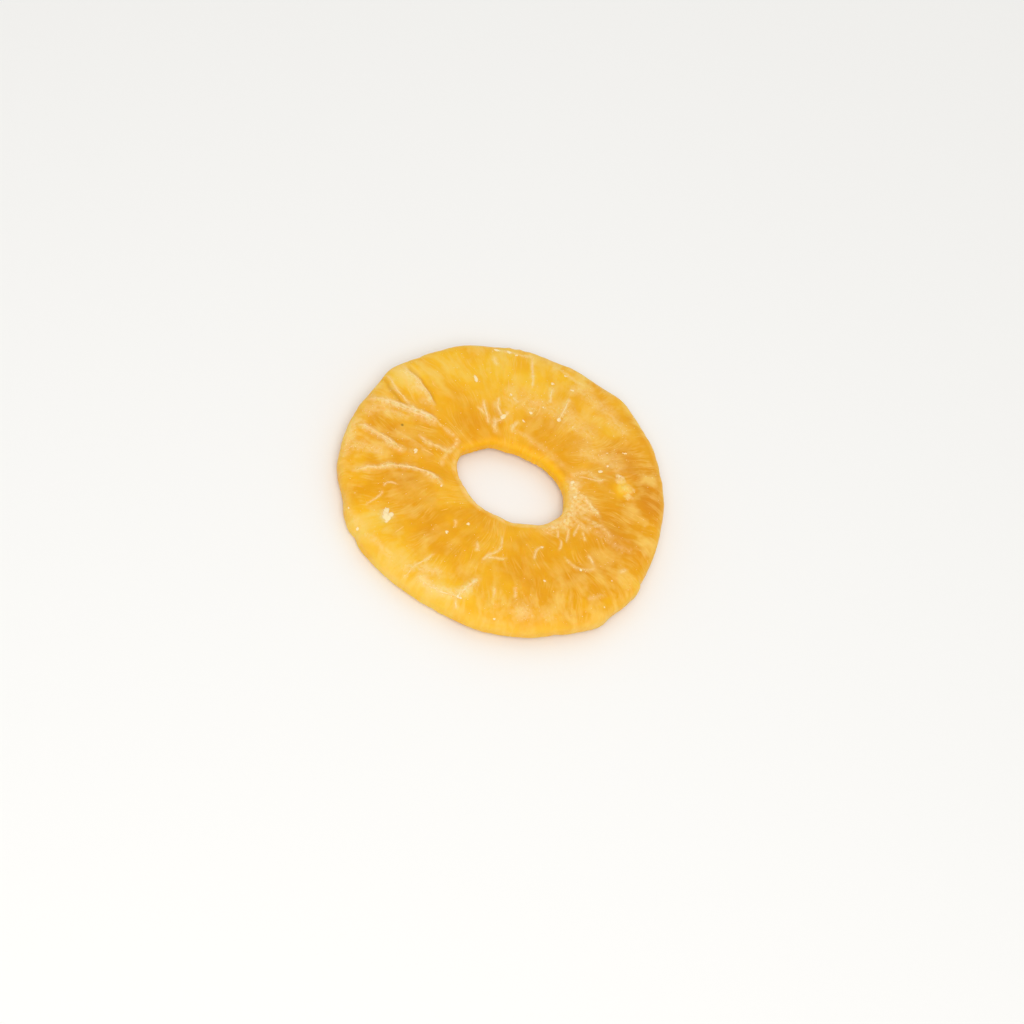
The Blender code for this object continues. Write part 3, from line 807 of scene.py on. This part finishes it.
def sugarLumpsTree():
    tree, given = newTree("sugar lumps", lumpShape, Ring="Object", Material="Material")
    ring = addNode(tree, "GeometryNodeObjectInfo", {"Object": given["Ring"]}, output="Geometry")
    laid = dropOnRing(tree, ring, given["Geometry"])
    size, lumpTurn, normal = (
        addNode(tree, "GeometryNodeInputNamedAttribute", {"Name": label}, data_type="FLOAT_VECTOR")
        for label in ("size", "turn", "faceNormal"))
    turn = addNode(tree, "FunctionNodeAlignRotationToVector", {
        "Rotation": lumpTurn, "Vector": normal}, axis="Z")
    ball = addNode(tree, "GeometryNodeMeshIcoSphere", {"Radius": 1.0, "Subdivisions": 4})
    balls = addNode(tree, "GeometryNodeInstanceOnPoints", {
        "Points": laid, "Instance": ball, "Rotation": turn, "Scale": size})
    real = addNode(tree, "GeometryNodeRealizeInstances", {"Geometry": balls})
    place = addNode(tree, "GeometryNodeInputPosition")
    reach = addNode(tree, "ShaderNodeVectorMath", {0: size}, operation="LENGTH", output="Value")
    amount = addNode(tree, "ShaderNodeMath", {0: reach, 1: given["Roughen"]}, operation="MULTIPLY")
    push = noiseSwing(tree, sizedNoise(tree, place, given["Facet Size"], 4.0)[1], amount)
    sink = addNode(tree, "ShaderNodeMath", {0: given["Sink"], 1: -1.0}, operation="MULTIPLY")
    down = addNode(tree, "ShaderNodeCombineXYZ", {2: sink})
    offset = addNode(tree, "ShaderNodeVectorMath", {0: push, 1: down})
    rough = addNode(tree, "GeometryNodeSetPosition", {"Geometry": real, "Offset": offset})
    smooth = addNode(tree, "GeometryNodeSetShadeSmooth", {"Geometry": rough})
    finishTree(tree, smooth, given["Material"])
    return tree


# Candied pineapple flesh: fruit soaked in syrup and dried. It is waxy and slightly clear, so light
# soaks in and comes back deeper and warmer, with paler fibre bundles and a dry, pale rim.

fleshLook = {
    "shades": {
        "amber": "#DE9000",
        "gold": "#EEA908",
        "lemon": "#FABF20",
        "maize": "#FACC54",        # the palest flesh, along the rim
        "straw": "#FAD06A",
        "cream": "#FFDF9C",
        "frost": "#FFEBCB",        # where sugar has dried out thickest
        "paintedWallGlow": "#FFBE12",         # painted glow on the walls of the hole, standing in for light that comes through the flesh
        # painted shade for the creases of the folds
        "paintedFoldShade": "#CC8A14",
        "seedSpot": "#7A5A12",
    },
    "stray": 7.0 * mm,
    "seedSpotPlace": (-26.3 * mm, 0.5 * mm, 0.0),
    # noise in spots: size and detail
    "spots": {
        "broad": (7.0 * mm, 1.0),
        "mottle": (2.0 * mm, 3.0),
        "cloud": (4.2 * mm, 6.0),
        "patches": (5.5 * mm, 1.0),
        "lipSpots": (2.0 * mm, 2.0),
        "sugarSpots": (0.8 * mm, 4.0),
        "gloss": (1.8 * mm, 3.0),
        "pores": (0.4 * mm, 3.0),
    },
    # noise drawn out along the fibres: how many to a turn, length and detail
    "fibres": {
        "veils": (48, 7.0 * mm, 3.0),
        "blotches": (120, 4.0 * mm, 2.0),
        "longFibres": (210, 6.0 * mm, 2.0),
        "shortFibres": (480, 3.5 * mm, 2.0),
        "finestFibres": (420, 3.0 * mm, 3.0),
    },
    # patterns put together from others. A term is what it reads, the two readings between which it
    # changes, and its worth at each of them, 0 and 1 where none is given
    "patterns": {
        # the flesh's own tone, with the painted light and shade of the broad patches in it
        "ripenessAndLight": ("ADD", ("broad", 0.3, 0.7, 0.40, 0.66), ("toneAndLight", -2.0, 2.0, -1.1, 1.1),
                     ("mottle", 0.25, 0.75, -0.05, 0.05)),
        "clouded": ("ADD", ("veils", 0.0, 1.0, 0.0, 0.42), ("cloud", 0.0, 1.0, 0.0, 0.58)),
        "haze": ("MULTIPLY", ("clouded", 0.48, 0.63), ("upward", -0.9, 0.2, 0.4, 1.0)),
        "bloom": ("MULTIPLY", ("sugar", 0.0, 1.0), ("sugarSpots", 0.34, 0.58, 0.3, 1.0)),
        "roughness": ("ADD", ("gloss", 0.3, 0.7, 0.34, 0.50), ("haze", 0.0, 1.0, 0.0, 0.14),
                      ("bloom", 0.0, 1.0, 0.0, 0.25)),
        "grain": ("ADD", ("finestFibres", 0.0, 1.0), ("pores", 0.0, 1.0)),
    },
    # each tint lies over those before it, as strong as its terms multiplied together
    "tints": (
        ("gold", ("ripenessAndLight", 0.0, 0.55)),
        ("lemon", ("ripenessAndLight", 0.5, 0.85)),
        ("maize", ("ripenessAndLight", 0.8, 1.2)),
        ("maize", ("across", 0.84, 1.0), ("upward", -0.5, 0.7, 0.22, 0.52)),       # the rim
        # painted glow on the hole's walls, stronger towards the right
        ("paintedWallGlow", ("across", -0.86, -0.96), ("upward", 0.97, 0.75), ("x", -8 * mm, 6 * mm, 0.6, 1.0)),
        ("straw", ("haze", 0.0, 1.0), ("across", -0.2, 0.7, 0.30, 0.72)),
        ("straw", ("blotches", 0.54, 0.70), ("across", 0.2, 0.95, 0.05, 0.42)),
        ("straw", ("longFibres", 0.52, 0.68, 0.0, 0.40), ("patches", 0.44, 0.62),
         ("upward", 0.3, 0.9, 0.3, 1.0)),
        ("straw", ("shortFibres", 0.52, 0.68, 0.0, 0.35), ("patches", 0.44, 0.62),
         ("upward", 0.3, 0.9, 0.3, 1.0)),
        ("cream", ("across", -0.86, -0.93), ("upward", 0.35, 0.65), ("y", 4 * mm, -4 * mm),
         ("lipSpots", 0.35, 0.6, 0.10, 0.60)),                                     # the hole's lip
        # painted shade in the folds
        ("paintedFoldShade", ("shade", 0.0, 1.0, 0.0, 0.5)),
        ("cream", ("bloom", 0.0, 1.0)),
        ("frost", ("bloom", 0.75, 1.0, 0.0, 0.7)),
        ("seedSpot", ("fromSeedSpot", 0.45 * mm, 0.135 * mm, 0.0, 0.7), ("upward", 0.8, 0.9)),
    ),
    "bump": {"Distance": 0.07 * mm, "Strength": 0.6},
    "surface": {
        "IOR": 1.43,
        "Specular IOR Level": 0.22,
        "Subsurface Weight": 0.5,
        "Subsurface Radius": (1.0, 0.45, 0.12),
        "Subsurface Scale": 2.6 * mm,
    },
}


def fleshMaterial():
    material, tree, shader = newMaterial("candiedPineappleFlesh", fleshLook["surface"])
    place = addNode(tree, "ShaderNodeTexCoord", output="Object")
    fromCore, way = fibreWay(tree, place, fleshLook["stray"])
    sides = addNode(tree, "ShaderNodeSeparateXYZ", {0: place}, output=None).outputs
    flat = addNode(tree, "ShaderNodeCombineXYZ", {0: sides[0], 1: sides[1]})
    readings = {"x": sides[0], "y": sides[1]}
    readings["fromSeedSpot"] = addNode(tree, "ShaderNodeVectorMath", {
        0: flat, 1: fleshLook["seedSpotPlace"]}, operation="DISTANCE", output="Value")
    for label in ("across", "upward", "toneAndLight", "sugar", "shade"):
        readings[label] = addNode(tree, "ShaderNodeAttribute", attribute_name=label, output="Fac")
    for label, (size, detail) in fleshLook["spots"].items():
        readings[label] = addNode(tree, "ShaderNodeTexNoise", {
            "Vector": place, "Scale": 1 / size, "Detail": detail})
    for label, (count, length, detail) in fleshLook["fibres"].items():
        readings[label] = fibreNoise(tree, fromCore, way, count, 1 / length, detail)

    def combined(operation, terms):
        # the terms added up, or multiplied together
        total = None
        for label, low, high, *worth in terms:
            bottom, top = worth or (0.0, 1.0)
            part = addNode(tree, "ShaderNodeMapRange", {
                "Value": readings[label], "From Min": low, "From Max": high,
                "To Min": bottom, "To Max": top})
            if total is not None:
                part = addNode(tree, "ShaderNodeMath", {0: total, 1: part}, operation=operation)
            total = part
        return total

    for label, (operation, *terms) in fleshLook["patterns"].items():
        readings[label] = combined(operation, terms)

    shades = {label: hexColour(value) for label, value in fleshLook["shades"].items()}
    colour = shades["amber"]
    for label, *terms in fleshLook["tints"]:
        share = combined("MULTIPLY", terms)
        colour = addNode(tree, "ShaderNodeMix", {
            0: share, 6: colour, 7: shades[label]}, data_type="RGBA", output=2)
    bump = addNode(tree, "ShaderNodeBump", {"Height": readings["grain"], **fleshLook["bump"]})
    tree.links.new(colour, shader.inputs["Base Color"])
    tree.links.new(readings["roughness"], shader.inputs["Roughness"])
    tree.links.new(bump, shader.inputs["Normal"])
    return material


# Vascular fibre: it holds less syrup than the flesh, so it dries pale and nearly matt

fibreLook = {
    "soaked": "#FFC24C",
    "dry": "#FFE0A0",
    "patchSize": 1.2 * mm,
    "patchSpan": (0.35, 0.65),
    "patchDryness": (0.4, 1.0),
    "surface": {"Roughness": 0.5, "Specular IOR Level": 0.35},
}


def fibreMaterial():
    material, tree, shader = newMaterial("driedFruitFibre", fibreLook["surface"])
    place = addNode(tree, "ShaderNodeTexCoord", output="Object")
    noise = addNode(tree, "ShaderNodeTexNoise", {
        "Vector": place, "Scale": 1 / fibreLook["patchSize"], "Detail": 2.0})
    (low, high), (least, most) = fibreLook["patchSpan"], fibreLook["patchDryness"]
    patches = addNode(tree, "ShaderNodeMapRange", {
        "Value": noise, "From Min": low, "From Max": high, "To Min": least, "To Max": most})
    pale = addNode(tree, "ShaderNodeAttribute", attribute_name="pale", output="Fac")
    dryness = addNode(tree, "ShaderNodeMath", {0: patches, 1: pale}, operation="MULTIPLY")
    soaked, dry = hexColour(fibreLook["soaked"]), hexColour(fibreLook["dry"])
    colour = addNode(tree, "ShaderNodeMix", {0: dryness, 6: soaked, 7: dry}, data_type="RGBA", output=2)
    tree.links.new(colour, shader.inputs["Base Color"])
    return material


# Sugar: small clear-white crystals, glossy on each face

sugarLook = {
    "Base Color": hexColour("#FFE6AC"),
    "Roughness": 0.35,
    "IOR": 1.54,
}


def sugarMaterial():
    return newMaterial("driedSugarCrystal", sugarLook)[0]


print("materials")
flesh = fleshMaterial()
fibre = fibreMaterial()
sugar = sugarMaterial()

print("ring flesh")
ringFlesh = bakeTree(ringStart, fibreReliefTree(), {**fibreRelief, "Material": flesh}, "ring_flesh")
bpy.data.objects.remove(ringStart)

print("fibre strands")
onRing = {"Ring": ringFlesh}
strands = bakeTree(
    fibrePaths(), fibreStrandsTree(), {**fibreStrands, **onRing, "Material": fibre}, "fibre_strands")

print("sugar lumps and grains")
lumps = bakeTree(lumpPoints(), sugarLumpsTree(), {**lumpShape, **onRing, "Material": sugar}, "sugar_lumps")
grains = bakeTree(ringFlesh, sugarGrainsTree(), {**sugarGrains, "Material": sugar}, "sugar_grains")
for piece in (ringFlesh, strands, lumps, grains):
    print(piece.name, sum(len(face.vertices) - 2 for face in piece.data.polygons), "triangles")


# Floor, light and camera

studio = {
    "floorSize": 3.0,
    "floorSurface": {"Base Color": hexColour("#F7F6F3"), "Roughness": 0.9, "Specular IOR Level": 0.1},
    "skyStrength": 0.64,
    # place, size and power
    "lights": {
        "key": ((0.06, -0.38, 0.56), 0.5, 1.96),
        "fill": ((0.10, 0.48, 0.50), 0.8, 0.6),
    },
}


def makeFloor():
    bm = bmesh.new()
    bmesh.ops.create_grid(bm, x_segments=1, y_segments=1, size=studio["floorSize"] / 2)
    mesh = bpy.data.meshes.new("floor")
    bm.to_mesh(mesh)
    bm.free()
    floor = bpy.data.objects.new("floor", mesh)
    bpy.context.scene.collection.objects.link(floor)
    mesh.materials.append(newMaterial("paleStudioPaper", studio["floorSurface"])[0])
    return floor


def makeLight(name, place, size, power):
    data = bpy.data.lights.new(name, "AREA")
    data.shape, data.size, data.energy = "DISK", size, power
    light = bpy.data.objects.new(name, data)
    bpy.context.scene.collection.objects.link(light)
    light.location = place
    light.rotation_euler = (-Vector(place)).to_track_quat("-Z", "Y").to_euler()


def makeSky():
    world = bpy.data.worlds.new("studio")
    world.use_nodes = True
    background = world.node_tree.nodes["Background"]
    background.inputs["Color"].default_value = (1.0, 1.0, 1.0, 1.0)
    background.inputs["Strength"].default_value = studio["skyStrength"]
    bpy.context.scene.world = world


viewpoint = {
    "elevation": 55.0,             # degrees above the floor
    "roll": 24.8,                  # degrees: the ring's long way runs down to the right
    "lens": 90.0,
    "sensor": 36.0,
    "distance": 576.6 * mm,
    "ringPixel": (504.3, 484.0),   # where the ring's middle shows in the 1024 pixel frame
    "framePixels": 1024,
    "middleHeight": 3.0 * mm,
    "clip": (0.01, 20.0),
}


def makeCamera():
    tilt, roll = math.radians(viewpoint["elevation"]), math.radians(viewpoint["roll"])
    ahead = Vector((0, math.cos(tilt), -math.sin(tilt)))
    level, above = Vector((1, 0, 0)), Vector((0, math.sin(tilt), math.cos(tilt)))
    right = math.cos(roll) * level + math.sin(roll) * above
    up = -math.sin(roll) * level + math.cos(roll) * above
    perPixel = viewpoint["sensor"] / viewpoint["lens"] / viewpoint["framePixels"] * viewpoint["distance"]
    offRight = (viewpoint["ringPixel"][0] - viewpoint["framePixels"] / 2) * perPixel
    offUp = -(viewpoint["ringPixel"][1] - viewpoint["framePixels"] / 2) * perPixel
    middle = Vector((0, 0, viewpoint["middleHeight"]))
    place = middle - viewpoint["distance"] * ahead - offRight * right - offUp * up
    data = bpy.data.cameras.new("camera")
    data.lens, data.sensor_width = viewpoint["lens"], viewpoint["sensor"]
    data.clip_start, data.clip_end = viewpoint["clip"]
    camera = bpy.data.objects.new("camera", data)
    bpy.context.scene.collection.objects.link(camera)
    turn = Matrix((right, up, -ahead)).transposed().to_4x4()
    camera.matrix_world = Matrix.Translation(place) @ turn
    bpy.context.scene.camera = camera


print("studio")
floor = makeFloor()
for name, (place, size, power) in studio["lights"].items():
    makeLight(name, place, size, power)
makeSky()
makeCamera()
bpy.context.scene.view_settings.view_transform = "Standard"
bpy.context.scene.view_settings.look = "None"

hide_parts("pineapple_ring")
for piece in (ringFlesh, strands, lumps, grains):
    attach(piece, "root")
